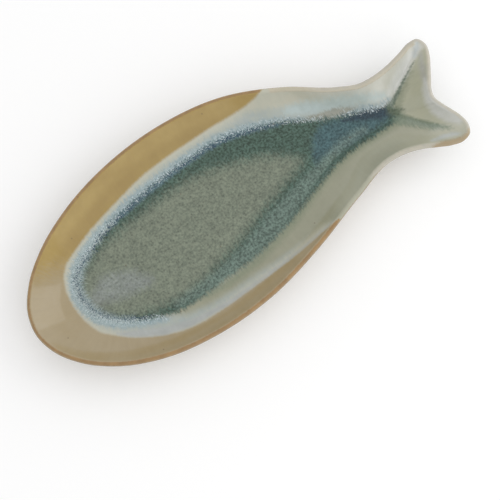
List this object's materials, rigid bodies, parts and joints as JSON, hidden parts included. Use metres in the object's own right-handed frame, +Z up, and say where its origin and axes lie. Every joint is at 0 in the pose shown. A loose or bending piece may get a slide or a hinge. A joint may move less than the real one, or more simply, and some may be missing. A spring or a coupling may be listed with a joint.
{
  "type": "fish shaped platter",
  "caption": "Fish shaped stoneware serving platter with a shallow well, sloping walls, a rounded lip, a forked tail with a groove in each lobe and a low foot ring, in layered reactive glazes.",
  "frame": {"origin": "on the table, under the middle of the platter's length and width", "axes": "+X from the nose to the tail, +Y to the fish's back, +Z up out of the well"},
  "size_m": [0.359, 0.156, 0.0295],
  "materials": {
    "fired_clay": "bare fired stoneware",
    "ground_foot": "bare stoneware, ground flat",
    "greige_glaze": "satin gloss glaze",
    "base_greige_glaze": "satin gloss glaze",
    "brown_lip_glaze": "gloss glaze, broken thin over the edge",
    "amber_glaze": "gloss glaze",
    "white_glaze": "gloss glaze with blue-white crystals",
    "green_glaze": "gloss glaze, pooled and crackled",
    "overflow_glaze": "gloss glaze, run over the lip"
  },
  "bodies": {
    "root": {"dish_body": "fired_clay", "foot_ring": "ground_foot", "outer_glaze": "greige_glaze", "base_glaze": "base_greige_glaze", "rim_glaze": "brown_lip_glaze", "amber_glaze": "amber_glaze", "white_glaze": "white_glaze", "green_glaze": "green_glaze", "tail_glaze": "overflow_glaze"}
  },
  "joints": []
}
